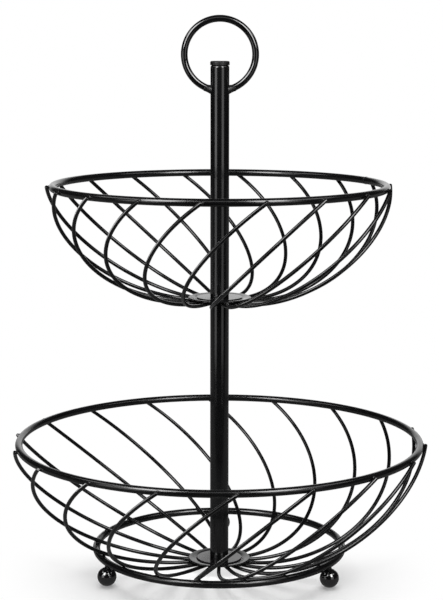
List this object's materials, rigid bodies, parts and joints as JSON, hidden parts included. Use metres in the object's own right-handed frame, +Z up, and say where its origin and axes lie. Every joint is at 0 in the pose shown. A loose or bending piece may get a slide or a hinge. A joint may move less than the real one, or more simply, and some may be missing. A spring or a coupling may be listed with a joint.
{
  "type": "tiered wire basket",
  "caption": "Free-standing two-tier basket with round bowls of swirled black wire on a screwed central pole, a ring handle on top and ball feet below.",
  "frame": {"origin": "on the table under the pole, midway between the ball feet", "axes": "+Z up along the pole, the front towards -Y, +X to the right seen from the front; the ring handle faces the front"},
  "size_m": [0.3074, 0.308, 0.4114],
  "materials": {
    "wire_coat": "black satin powder coat on thin steel wire",
    "ring_coat": "black satin powder coat on thick steel wire",
    "plate_coat": "black satin powder coat on stamped sheet steel",
    "pole_coat": "black satin powder coat on steel tube",
    "foot_gloss": "black gloss coat on steel ball",
    "cap_plastic": "black moulded plastic",
    "zinc_fittings": "zinc-plated steel"
  },
  "bodies": {
    "stand": {"lower_rim": "ring_coat", "lower_plate": "plate_coat", "lower_wire_01": "wire_coat", "lower_wire_02": "wire_coat", "lower_wire_03": "wire_coat", "lower_wire_04": "wire_coat", "lower_wire_05": "wire_coat", "lower_wire_06": "wire_coat", "lower_wire_07": "wire_coat", "lower_wire_08": "wire_coat", "lower_wire_09": "wire_coat", "lower_wire_10": "wire_coat", "lower_wire_11": "wire_coat", "lower_wire_12": "wire_coat", "lower_wire_13": "wire_coat", "lower_wire_14": "wire_coat", "lower_wire_15": "wire_coat", "lower_wire_16": "wire_coat", "lower_wire_17": "wire_coat", "lower_wire_18": "wire_coat", "base_ring": "ring_coat", "front_left_foot": "foot_gloss", "front_right_foot": "foot_gloss", "rear_foot": "foot_gloss", "lower_tube": "pole_coat", "lower_tube_bottom_insert": "zinc_fittings", "lower_tube_top_insert": "zinc_fittings", "base_washer": "zinc_fittings", "base_screw": "zinc_fittings"},
    "upper_basket": {"upper_rim": "ring_coat", "upper_plate": "plate_coat", "upper_wire_01": "wire_coat", "upper_wire_02": "wire_coat", "upper_wire_03": "wire_coat", "upper_wire_04": "wire_coat", "upper_wire_05": "wire_coat", "upper_wire_06": "wire_coat", "upper_wire_07": "wire_coat", "upper_wire_08": "wire_coat", "upper_wire_09": "wire_coat", "upper_wire_10": "wire_coat", "upper_wire_11": "wire_coat", "upper_wire_12": "wire_coat", "upper_wire_13": "wire_coat", "upper_wire_14": "wire_coat", "upper_wire_15": "wire_coat", "upper_wire_16": "wire_coat", "upper_wire_17": "wire_coat", "upper_wire_18": "wire_coat"},
    "upper_post": {"upper_tube": "pole_coat", "upper_tube_insert": "zinc_fittings", "joining_stud": "zinc_fittings", "top_cap": "cap_plastic", "handle_ring": "ring_coat"}
  },
  "joints": [
    {"name": "upper_basket_swivel", "type": "hinge", "parent": "stand", "child": "upper_basket", "pos_m": [0, 0, 0.20552], "axis": [0, 0, 1], "continuous": true},
    {"name": "upper_post_unscrew", "type": "hinge", "parent": "stand", "child": "upper_post", "pos_m": [0, 0, 0.20652], "axis": [0, 0, 1], "range_deg": [0, 360]}
  ]
}
